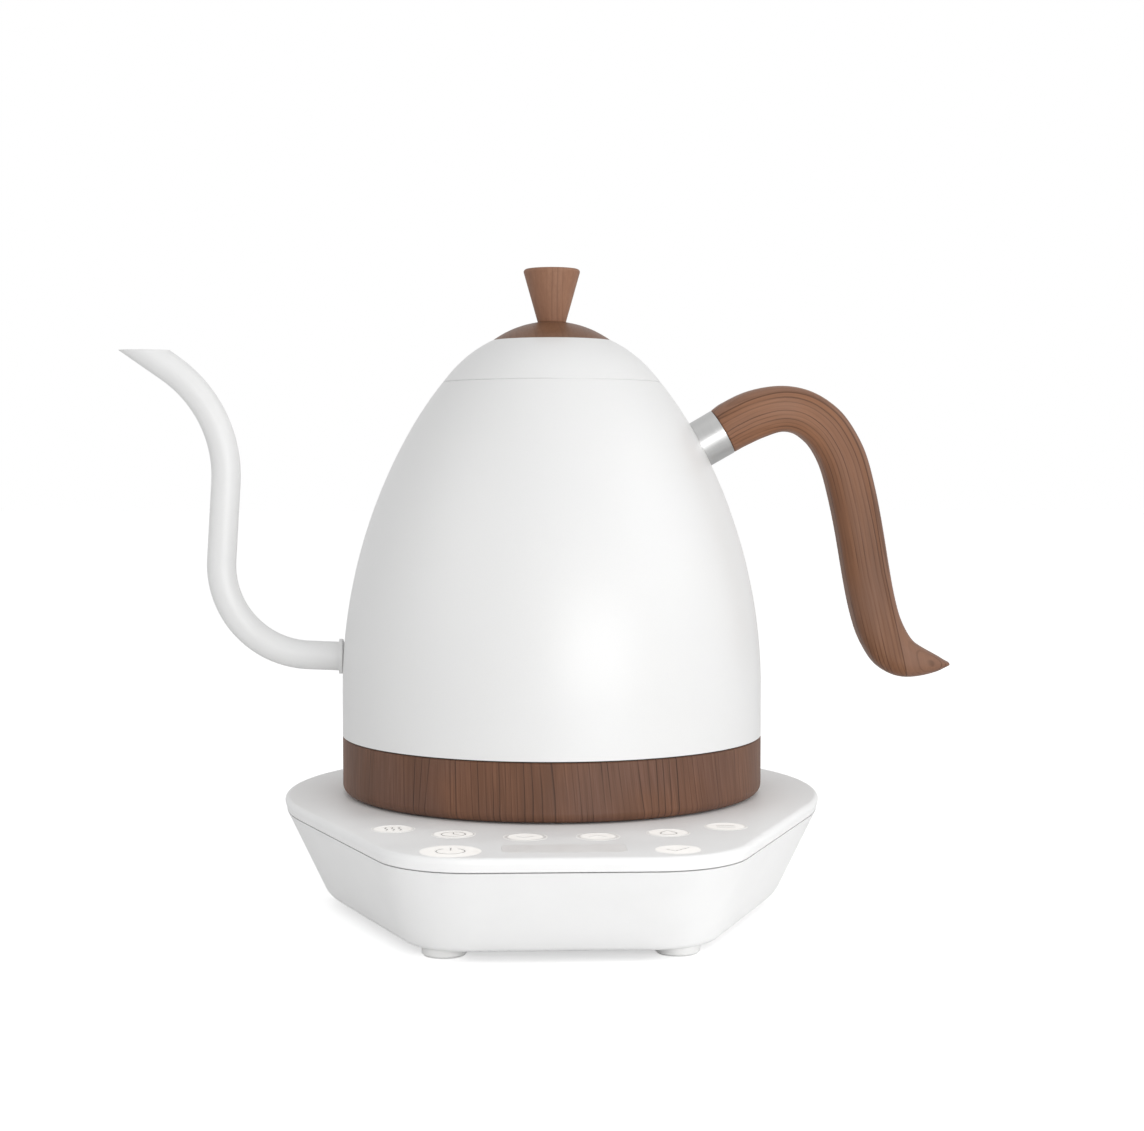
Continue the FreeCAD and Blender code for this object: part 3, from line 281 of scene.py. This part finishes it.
def wood(name, grain, shades, spacing, line_width, pith, wander, gloss, line_share, fibre_share=0.4,
         painted_shade_span=None, painted_sheen_from=None):
    """Grained wood: growth rings about a pith line, each ring ending in a dark line of its own strength.

    painted_shade_span gives two lengths along the grain between which the tone sinks a little as painted
    shade, and painted_sheen_from the distance across it beyond which the wood is greyer as a painted sheen,
    behind one dark line.
    """
    light, dark, line, patch = shades
    s = Surface(name, light, gloss, Specular_IOR_Level=0.3)
    place = grain(s)
    drift = s.noise(1.0, 1.0, place=s.stretched((9.0, 42.0, 42.0), place=place), roughness=0.4)
    late, edge = growth_rings(s, place, drift, spacing, line_width, pith, wander, line_share)
    fibre = s.noise(1.0, 3.0, place=s.stretched((70.0, 2300.0, 2300.0), place=place), roughness=0.6)
    strand = s.noise(1.0, 2.0, place=s.stretched((22.0, 620.0, 620.0), place=place), roughness=0.6)
    cloud = s.noise(1.0, 2.0, place=s.stretched((14.0, 50.0, 50.0), place=place))
    base = s.mix(s.span(cloud, 0.36, 0.64), light, dark)
    base = s.mix(s.span(s.noise(34.0, 1.0), 0.48, 0.66, 0.0, 0.6), base, patch)
    base = s.mix(s.math("MULTIPLY", late, 0.34), base, shaded(dark, 0.66))
    base = s.mix(s.span(strand, 0.38, 0.66, 0.0, fibre_share), base, shaded(dark, 0.74))
    base = s.mix(s.span(fibre, 0.40, 0.66, 0.0, fibre_share), base, shaded(dark, 0.80))
    if painted_shade_span:
        base = painted_shade_along_grain(s, place, base, *painted_shade_span)
    if painted_sheen_from:
        base, edge = painted_sheen_strip(s, place, drift, base, edge, painted_sheen_from, patch)
    base = s.mix(edge, base, line)
    s.plug(base, s.shader.inputs["Base Color"])
    s.plug(s.span(fibre, 0.3, 0.7, gloss - 0.05, gloss + 0.08), s.shader.inputs["Roughness"])
    low = s.math("ADD", s.math("MULTIPLY", fibre, -0.35), s.math("MULTIPLY", edge, -0.65))
    s.bump(low, 0.00012, 0.5)
    return s


def glowing(name, color, strength):
    """Translucent white plastic that glows a little: on the icons the lamp behind them shows through; on the
    switched-off display window the glow is painted light, with no lamp behind it.
    """
    s = Surface(name, color, 0.32, Emission_Strength=strength)
    s.shader.inputs["Emission Color"].default_value = (1.0, 0.97, 0.92, 1)
    cloud = s.noise(220.0, 2.0)
    s.tint(cloud, 0.98, 1.02)
    s.gloss(cloud, 0.28, 0.36)
    s.bump(s.noise(1500.0, 1.0), 0.00001, 0.4)
    return s


SOLDER_MASK = (0.03, 0.16, 0.08)
TRACK_GREEN = (0.07, 0.30, 0.15)


def circuit(name):
    """Green solder mask with paler tracks under it."""
    s = Surface(name, SOLDER_MASK, 0.38, Coat_Weight=0.4)
    cells = s.node("ShaderNodeTexVoronoi", distance="CHEBYCHEV", feature="DISTANCE_TO_EDGE")
    s.plug(s.place, cells.inputs["Vector"])
    cells.inputs["Scale"].default_value = 190.0
    track = s.span(cells.outputs["Distance"], 0.05, 0.09, 1.0, 0.0)
    s.plug(s.mix(track, SOLDER_MASK, TRACK_GREEN), s.shader.inputs["Base Color"])
    s.gloss(s.noise(80.0, 2.0), 0.33, 0.42)
    s.bump(track, 0.00003, 0.6)
    return s


def ribbon(name):
    """Grey flat cable of fine parallel wires that lie along Y."""
    s = Surface(name, (0.42, 0.43, 0.45), 0.5)
    wires = s.node("ShaderNodeTexWave", wave_type="BANDS", bands_direction="X", wave_profile="SIN")
    s.plug(s.place, wires.inputs["Vector"])
    wires.inputs["Scale"].default_value = 260.0
    s.tint(wires.outputs["Fac"], 0.75, 1.1)
    s.gloss(s.noise(200.0, 2.0), 0.42, 0.55)
    s.bump(wires.outputs["Fac"], 0.0001, 0.8)
    return s


FLOOR_LIFT = 0.50


def floor_surface():
    """Pale floor that is lifted to white where the camera sees it."""
    s = Surface("studio_floor", (0.90, 0.90, 0.90), 0.9)
    s.shader.inputs["Emission Color"].default_value = (1, 1, 1, 1)
    seen = s.node("ShaderNodeLightPath").outputs["Is Camera Ray"]
    s.plug(s.math("MULTIPLY", seen, FLOOR_LIFT), s.shader.inputs["Emission Strength"])
    return s


FERRULE_TILT = math.radians(30.0)
# each wood: earlier growth, later growth, dark line, greyer patch; on the grip the greyer patch also colours
# the painted sheen strip
GRIP_SHADES = ((0.325, 0.152, 0.078), (0.245, 0.109, 0.055), (0.060, 0.024, 0.012), (0.250, 0.136, 0.092))
KNOB_SHADES = ((0.330, 0.172, 0.105), (0.285, 0.140, 0.083), (0.150, 0.066, 0.038), (0.300, 0.170, 0.115))
# the cap's wood is set darker than the knob's all over: painted shadow, standing in for the shade the knob
# casts on the cap
CAP_SHADES_WITH_PAINTED_SHADOW = ((0.205, 0.098, 0.052), (0.170, 0.080, 0.042), (0.100, 0.045, 0.026), (0.205, 0.115, 0.075))
BAND_SHADES = ((0.215, 0.098, 0.055), (0.140, 0.064, 0.036), (0.030, 0.014, 0.009), (0.150, 0.080, 0.060))

surfaces = {
    "white_paint": painted("pearl_paint"),
    "base_plastic": moulded("satin_white_plastic", (0.94, 0.94, 0.937), 0.48, grain=2600.0, depth=0.000012,
                            Specular_IOR_Level=0.3),
    "band_wood": wood("band_walnut", wrapped_grain, BAND_SHADES, spacing=0.0024, line_width=0.0005,
                      pith=(-0.5, 0.0), wander=7.0, gloss=0.50, line_share=0.95, fibre_share=0.55),
    "knob_wood": wood("knob_walnut", upright_grain, KNOB_SHADES, spacing=0.0019, line_width=0.0005,
                      pith=(0.30, 0.0), wander=1.6, gloss=0.50, line_share=0.30, fibre_share=0.3),
    "cap_wood": wood("cap_walnut_painted_shadow", upright_grain, CAP_SHADES_WITH_PAINTED_SHADOW, spacing=0.0021, line_width=0.0005,
                     pith=(0.30, 0.0), wander=1.6, gloss=0.40, line_share=0.30, fibre_share=0.3),
    # the grip's wood carries painted shade on its lower part and a painted sheen strip along its outer face
    "handle_wood": wood("handle_walnut_painted_shade_and_sheen", bent_grain, GRIP_SHADES, spacing=0.0014, line_width=0.00045,
                        pith=(0.0155, -0.0155), wander=2.0, gloss=0.46, line_share=1.0, fibre_share=0.45,
                        painted_shade_span=(0.05, 0.11), painted_sheen_from=0.0056),
    "ferrule_chrome": brushed("polished_chrome", (0.56, 0.56, 0.555), 0.36, (2600.0, 40.0, 40.0),
                              turn=(0, FERRULE_TILT, 0), depth=0.000004),
    "dark_seal": moulded("dark_rubber", (0.02, 0.018, 0.016), 0.6),
    "pale_silicone": moulded("pale_silicone", (0.68, 0.68, 0.66), 0.5),
    "steel": brushed("brushed_steel", (0.58, 0.58, 0.59), 0.26, (60.0, 60.0, 2400.0)),
    "spreader_aluminium": brushed("milled_aluminium", (0.70, 0.71, 0.72), 0.32, (60.0, 1800.0, 60.0)),
    "black_plastic": moulded("black_plastic", (0.018, 0.018, 0.020), 0.45, 1500.0, 0.00003),
    "contact_brass": brushed("contact_brass", (0.68, 0.47, 0.18), 0.22, (1500.0, 80.0, 80.0)),
    "icon_glow": glowing("lit_icon", (0.92, 0.92, 0.905), 0.32),
    # the display window's faint glow is painted light: the display is off and the glow paints a soft lighter
    # patch on the deck
    "display_glass": glowing("display_window", (0.93, 0.93, 0.925), 0.03),
    "mark_grey": moulded("grey_marks", (0.55, 0.55, 0.54), 0.5),
    "mark_white": moulded("white_marks", (0.93, 0.93, 0.92), 0.35),
    "board_green": circuit("circuit_board"),
    "ribbon_grey": ribbon("flat_cable"),
    "foot_rubber": moulded("foot_rubber", (0.87, 0.87, 0.86), 0.55, 1200.0, 0.00003),
}

# the marks on the panel wear two surfaces that are no slots of the record
for part in frame["record"]["subparts"]:
    shown = nodes[part["node"]]
    shown.data.materials.clear()
    shown.data.materials.append(surfaces[part["material_slot"]].material)


# ---------------------------------------------------------------- mesh building
def in_metres(points):
    return [tuple(c * MM for c in p) for p in points]


def mesh_piece(name, points, faces, surface, body, smooth=True):
    """A new piece that rides on a body and wears one of the surfaces."""
    mesh = bpy.data.meshes.new(name)
    mesh.from_pydata(points, [], faces)
    mesh.validate()
    for face in mesh.polygons:
        face.use_smooth = smooth
    piece = bpy.data.objects.new(name, mesh)
    bpy.context.scene.collection.objects.link(piece)
    mesh.materials.append(surfaces[surface].material)
    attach(piece, body)
    return piece


def smooth_value(stations, t, column):
    """Column of the stations at t, where whole numbers are the stations, eased by their spacing."""
    i = min(int(t), len(stations) - 2)
    f = t - i
    width = math.hypot(stations[i + 1][0] - stations[i][0], stations[i + 1][1] - stations[i][1])

    def slope(k):
        before, after = max(k - 1, 0), min(k + 1, len(stations) - 1)
        run = 0.0
        for a, b in zip(stations[before:after], stations[before + 1:after + 1]):
            run += math.hypot(b[0] - a[0], b[1] - a[1])
        return (stations[after][column] - stations[before][column]) / run

    start, end = stations[i][column], stations[i + 1][column]
    rise, fall = slope(i) * width, slope(i + 1) * width
    return (start * (1 + 2 * f) * (1 - f) ** 2 + end * f * f * (3 - 2 * f)
            + rise * f * (1 - f) ** 2 - fall * f * f * (1 - f))


# ---------------------------------------------------------------- handle
# x, z, heading in degrees, half height, half depth, corner as a share of the smaller half; mm
GRIP = [
    (61.1, 166.6, 30, 8.5, 8.5, 0.95),
    (64.8, 168.95, 30, 8.75, 8.6, 0.80),
    (73.0, 172.75, 18, 8.75, 8.6, 0.64),
    (82.3, 174.7, 0, 8.2, 8.5, 0.60),
    (90.0, 173.3, -23, 8.05, 8.5, 0.60),
    (96.8, 168.7, -45, 8.15, 8.5, 0.60),
    (101.1, 163.1, -60, 8.15, 8.5, 0.60),
    (104.65, 155.7, -69, 8.25, 8.5, 0.60),
    (107.6, 145.0, -76, 8.25, 8.5, 0.60),
    (110.1, 133.1, -79, 8.2, 8.5, 0.60),
    (114.25, 109.7, -79, 8.15, 8.5, 0.60),
    (116.9, 99.0, -71, 8.1, 8.5, 0.60),
    (119.3, 93.3, -60, 8.05, 8.5, 0.60),
    (122.5, 88.3, -47, 7.9, 8.4, 0.62),
    (126.6, 85.2, -31, 7.1, 8.2, 0.66),
    (131.2, 83.9, -17, 5.8, 7.8, 0.72),
    (138.4, 83.15, -4, 3.1, 6.6, 0.80),
    (142.4, 83.0, 1, 1.0, 4.8, 0.90),
]
STEPS_BETWEEN = 8
ROUND_POINTS = 56
STUD_RADIUS = 3.06
BORE_DEPTH = 15.0
FRONT_EDGE = 0.35  # the small bevel round the grip's front end
TIP_ROUNDING = ((0.45, 0.82), (0.75, 0.45))  # steps past the last station: forward in mm, share of its height
GRAIN_LEAVES_AT = 10  # the grain stops following the grip at this station and runs straight on
GRAIN_TURN = 2  # degrees by which the straight grain is turned from that station's heading
GRAIN_BEFORE = 20.0
GRAIN_AFTER = 80.0


def grip_ring(x, z, heading, half_height, half_depth, corner):
    """Points round one section of the grip, an oval squared off by its corner, in mm."""
    turn = math.radians(heading)
    across = (-math.sin(turn), math.cos(turn))
    bulge = 1 - (1 - math.sqrt(0.5)) * corner
    power = -math.log(2) / math.log(bulge)
    ring = []
    for k in range(ROUND_POINTS):
        angle = 2 * math.pi * k / ROUND_POINTS
        c, s = math.cos(angle), math.sin(angle)
        reach = (abs(c) ** power + abs(s) ** power) ** (-1 / power)
        u, v = half_height * reach * c, half_depth * reach * s
        ring.append((x + across[0] * u, v, z + across[1] * u))
    return ring


def disc_ring(x, z, heading, radius):
    """Points round a true circle, in mm."""
    return grip_ring(x, z, heading, radius, radius, 1.0)


def grain_place(point, line):
    """Length along the grain line, distance across it and depth, for a point in mm."""
    best = None
    run = 0.0
    for a, b in zip(line, line[1:]):
        dx, dz = b[0] - a[0], b[1] - a[1]
        length = math.hypot(dx, dz)
        t = ((point[0] - a[0]) * dx + (point[2] - a[1]) * dz) / (length * length)
        t = max(0.0, min(1.0, t))
        ox, oz = point[0] - a[0] - t * dx, point[2] - a[1] - t * dz
        off = math.hypot(ox, oz)
        if best is None or off < best[0]:
            side = math.copysign(off, dx * oz - dz * ox)
            best = (off, run + t * length, side)
        run += length
    return (best[1] * MM, best[2] * MM, point[1] * MM)


def build_grip():
    """The wooden grip as one closed skin, with the hole for the stud in its front end."""
    x0, z0, front, front_height, front_depth, front_corner = GRIP[0]
    ahead_x, ahead_z = math.cos(math.radians(front)), math.sin(math.radians(front))
    rings = [
        disc_ring(x0 + BORE_DEPTH * ahead_x, z0 + BORE_DEPTH * ahead_z, front, STUD_RADIUS),
        disc_ring(x0, z0, front, STUD_RADIUS),
        grip_ring(x0, z0, front, front_height - FRONT_EDGE, front_depth - FRONT_EDGE, front_corner),
    ]
    centre = []
    last = len(GRIP) - 1
    for n in range(last * STEPS_BETWEEN + 1):
        t = min(n / STEPS_BETWEEN, last - 1e-6)
        station = [smooth_value(GRIP, t, i) for i in range(6)]
        if n == 0:
            station[0] += FRONT_EDGE * ahead_x
            station[1] += FRONT_EDGE * ahead_z
        centre.append((station[0], station[1]))
        rings.append(grip_ring(*station))
    x, z, heading, height, depth, corner = GRIP[-1]
    turn = math.radians(heading)
    for forward, shrink in TIP_ROUNDING:
        rings.append(grip_ring(x + forward * math.cos(turn), z + forward * math.sin(turn), heading,
                               height * shrink, depth * (0.5 + shrink / 2), corner))
    points = [p for ring in rings for p in ring]
    faces = []
    for r in range(len(rings) - 1):
        for k in range(ROUND_POINTS):
            a = r * ROUND_POINTS + k
            b = r * ROUND_POINTS + (k + 1) % ROUND_POINTS
            faces.append((a, b, b + ROUND_POINTS, a + ROUND_POINTS))
    faces.append(tuple(reversed(range(ROUND_POINTS))))
    faces.append(tuple(range((len(rings) - 1) * ROUND_POINTS, len(rings) * ROUND_POINTS)))
    piece = mesh_piece("grip_wood", in_metres(points), faces, "handle_wood", "kettle")
    line = centre[:GRAIN_LEAVES_AT * STEPS_BETWEEN:2]
    onward = math.radians(GRIP[GRAIN_LEAVES_AT][2] + GRAIN_TURN)
    line.insert(0, (x0 - GRAIN_BEFORE * ahead_x, z0 - GRAIN_BEFORE * ahead_z))
    line.append((line[-1][0] + GRAIN_AFTER * math.cos(onward), line[-1][1] + GRAIN_AFTER * math.sin(onward)))
    grain = piece.data.attributes.new("grain", "FLOAT_VECTOR", "POINT")
    for index, point in enumerate(points):
        grain.data[index].vector = grain_place(point, line)
    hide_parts("handle_grip")


build_grip()


# ---------------------------------------------------------------- marks on the touch panel
DECK = 38.2
MARK_LIFT = 0.06
MARK_WIDTH = 0.55
TOP_SHARE = 0.8  # a strip's top as a share of its foot
ICON_RING = 95.0
NEAR_TURN = 6.9
MIDDLE_TURN = 21.0
FAR_TURN = 34.3
PANEL_ROW = 117.0
PANEL_SIDE = 34.5


class Marks:
    """Thin raised strips on the deck, gathered into one mesh; sizes in mm."""

    def __init__(self):
        self.points = []
        self.faces = []

    def strip(self, path, width, closed=False):
        """A strip of the given width along a path of x, y points."""
        count = len(path)
        start = len(self.points)
        for i, (x, y) in enumerate(path):
            before = path[i - 1] if closed or i > 0 else path[i]
            after = path[(i + 1) % count] if closed or i < count - 1 else path[i]
            dx, dy = after[0] - before[0], after[1] - before[1]
            length = math.hypot(dx, dy)
            ox, oy = -dy / length * width / 2, dx / length * width / 2
            self.points.append((x + ox, y + oy, DECK - MARK_LIFT))
            self.points.append((x - ox, y - oy, DECK - MARK_LIFT))
            self.points.append((x - ox * TOP_SHARE, y - oy * TOP_SHARE, DECK + MARK_LIFT))
            self.points.append((x + ox * TOP_SHARE, y + oy * TOP_SHARE, DECK + MARK_LIFT))
        for i in range(count if closed else count - 1):
            a, b = start + 4 * i, start + 4 * ((i + 1) % count)
            for k in range(4):
                m = (k + 1) % 4
                self.faces.append((a + k, a + m, b + m, b + k))
        if not closed:
            last = start + 4 * (count - 1)
            self.faces.append((start + 3, start + 2, start + 1, start))
            self.faces.append((last, last + 1, last + 2, last + 3))

    def arc(self, x, y, radius, first, last, width=MARK_WIDTH):
        """Part of a ring from one angle to another, in degrees; a whole ring when they are 360 apart."""
        whole = last - first >= 360
        steps = max(8, int((last - first) / 10))
        path = []
        for i in range(steps if whole else steps + 1):
            turn = math.radians(first + (last - first) * i / steps)
            path.append((x + radius * math.cos(turn), y + radius * math.sin(turn)))
        self.strip(path, width, whole)

    def line(self, x, y, *corners, width=MARK_WIDTH):
        """Straight strokes from corner to corner, each given from the point x, y."""
        self.strip([(x + cx, y + cy) for cx, cy in corners], width)

    def wave(self, x, y, length, swing):
        """Upright wavy line, one full swing to each side."""
        steps = 12
        path = []
        for i in range(steps + 1):
            path.append((x + swing * math.sin(2 * math.pi * i / steps), y + length * (i / steps - 0.5)))
        self.strip(path, MARK_WIDTH)

    def piece(self, name, surface):
        mesh_piece(name, in_metres(self.points), self.faces, surface, "base", smooth=False)


def ring_place(turn):
    """Centre of an icon on the ring about the kettle; turn is its angle from the front."""
    return ICON_RING * math.sin(math.radians(turn)), -ICON_RING * math.cos(math.radians(turn))


def build_marks():
    """Plain pictograms: power, timer, steam, drop, up and down, hold and set."""
    grey = Marks()
    x, y = -PANEL_SIDE, -PANEL_ROW
    grey.arc(x, y, 4.4, 120, 420)
    grey.line(x, y, (0, 1.2), (0, 5.6))
    x, y = ring_place(-MIDDLE_TURN)
    grey.arc(x, y, 3.8, 0, 360)
    grey.line(x, y, (0, 2.6), (0, 0), (1.8, -1.0))
    x, y = ring_place(-FAR_TURN)
    for shift in (-2.2, 0, 2.2):
        grey.wave(x + shift, y, 6.0, 0.5)
    x, y = ring_place(MIDDLE_TURN)
    grey.arc(x, y - 1.0, 2.6, 150, 390)
    grey.line(x, y - 1.0, (-2.25, 1.3), (0, 5.0), (2.25, 1.3))
    x, y = ring_place(FAR_TURN)
    grey.line(x, y, (-3.0, -1.4), (3.0, -1.4))
    grey.line(x, y, (-3.0, 1.4), (3.0, 1.4))
    x, y = PANEL_SIDE, -PANEL_ROW
    grey.line(x, y, (-3.4, 0.4), (-1.0, -2.2), (3.6, 2.8))
    grey.piece("touch_marks", "mark_grey")

    white = Marks()
    for turn, tip in ((-NEAR_TURN, -1.6), (NEAR_TURN, 1.6)):
        x, y = ring_place(turn)
        white.arc(x, y, 6.1, 0, 360, 1.2)
        white.line(x, y, (-2.8, -tip / 2), (0, tip), (2.8, -tip / 2), width=0.9)
    for turn in (-FAR_TURN, -MIDDLE_TURN, MIDDLE_TURN, FAR_TURN):
        x, y = ring_place(turn)
        white.arc(x, y, 6.5, 0, 360, 0.6)
    white.piece("touch_rims", "mark_white")


build_marks()


# ---------------------------------------------------------------- stage, light and camera
FLOOR_REACH = 6.0
FLOOR_DROP = 0.0001  # keeps the floor just clear of the feet


def build_floor():
    corners = [(x * FLOOR_REACH, y * FLOOR_REACH, 0) for x, y in ((-1, -1), (1, -1), (1, 1), (-1, 1))]
    mesh = bpy.data.meshes.new("studio_floor")
    mesh.from_pydata(corners, [], [(0, 1, 2, 3)])
    floor = bpy.data.objects.new("studio_floor", mesh)
    bpy.context.scene.collection.objects.link(floor)
    mesh.materials.append(floor_surface().material)
    floor.location.z = -FLOOR_DROP


def soft_light(name, place, aim, width, height, power):
    """Rectangular soft lamp at a place, turned to face the point it is aimed at."""
    lamp = bpy.data.lights.new(name, "AREA")
    lamp.shape = "RECTANGLE"
    lamp.size, lamp.size_y = width, height
    lamp.energy = power
    holder = bpy.data.objects.new(name, lamp)
    holder.location = place
    holder.rotation_euler = (Vector(aim) - Vector(place)).to_track_quat("-Z", "Y").to_euler()
    bpy.context.scene.collection.objects.link(holder)


DIFFUSE_LEVEL = 0.55
GLOSSY_LEVEL = 0.85


def build_world():
    """White room: it lights less than it shows, so that the soft lamps can shape the object."""
    world = bpy.data.worlds.new("white_room")
    world.use_nodes = True
    bpy.context.scene.world = world
    tree = world.node_tree
    shine = tree.nodes["Background"]
    shine.inputs["Color"].default_value = (1, 1, 1, 1)
    paths = tree.nodes.new("ShaderNodeLightPath")
    total = DIFFUSE_LEVEL
    steps_up = (("Is Glossy Ray", GLOSSY_LEVEL - DIFFUSE_LEVEL), ("Is Camera Ray", 1 - DIFFUSE_LEVEL))
    for output, extra in steps_up:
        step = tree.nodes.new("ShaderNodeMath")
        step.operation = "MULTIPLY_ADD"
        tree.links.new(paths.outputs[output], step.inputs[0])
        step.inputs[1].default_value = extra
        if hasattr(total, "links"):
            tree.links.new(total, step.inputs[2])
        else:
            step.inputs[2].default_value = total
        total = step.outputs[0]
    tree.links.new(total, shine.inputs["Strength"])


def build_camera():
    """Long lens in front of the kettle, a little above its middle and looking slightly down."""
    eye = bpy.data.cameras.new("camera")
    eye.lens = 64.196
    eye.sensor_width = 36.0
    eye.clip_start, eye.clip_end = 0.01, 30.0
    camera = bpy.data.objects.new("camera", eye)
    camera.location = (-0.0236, -0.729, 0.1552)
    camera.rotation_euler = (math.radians(90 - 2.865), 0, math.radians(-2.4186))
    bpy.context.scene.collection.objects.link(camera)
    bpy.context.scene.camera = camera


build_floor()
build_world()
soft_light("key_right", (0.38, -1.02, 0.10), (0, 0, 0.08), 0.70, 0.60, 5.9)
soft_light("top_fill", (0.22, -0.10, 1.25), (0, 0, 0.08), 1.3, 1.3, 1.0)
soft_light("side_right", (0.95, -0.40, 0.70), (0, 0, 0.05), 0.8, 0.8, 2.8)
soft_light("side_left", (-0.95, -0.50, 0.62), (0, 0, 0.05), 0.8, 0.8, 1.5)
build_camera()
bpy.context.scene.view_settings.view_transform = "Standard"
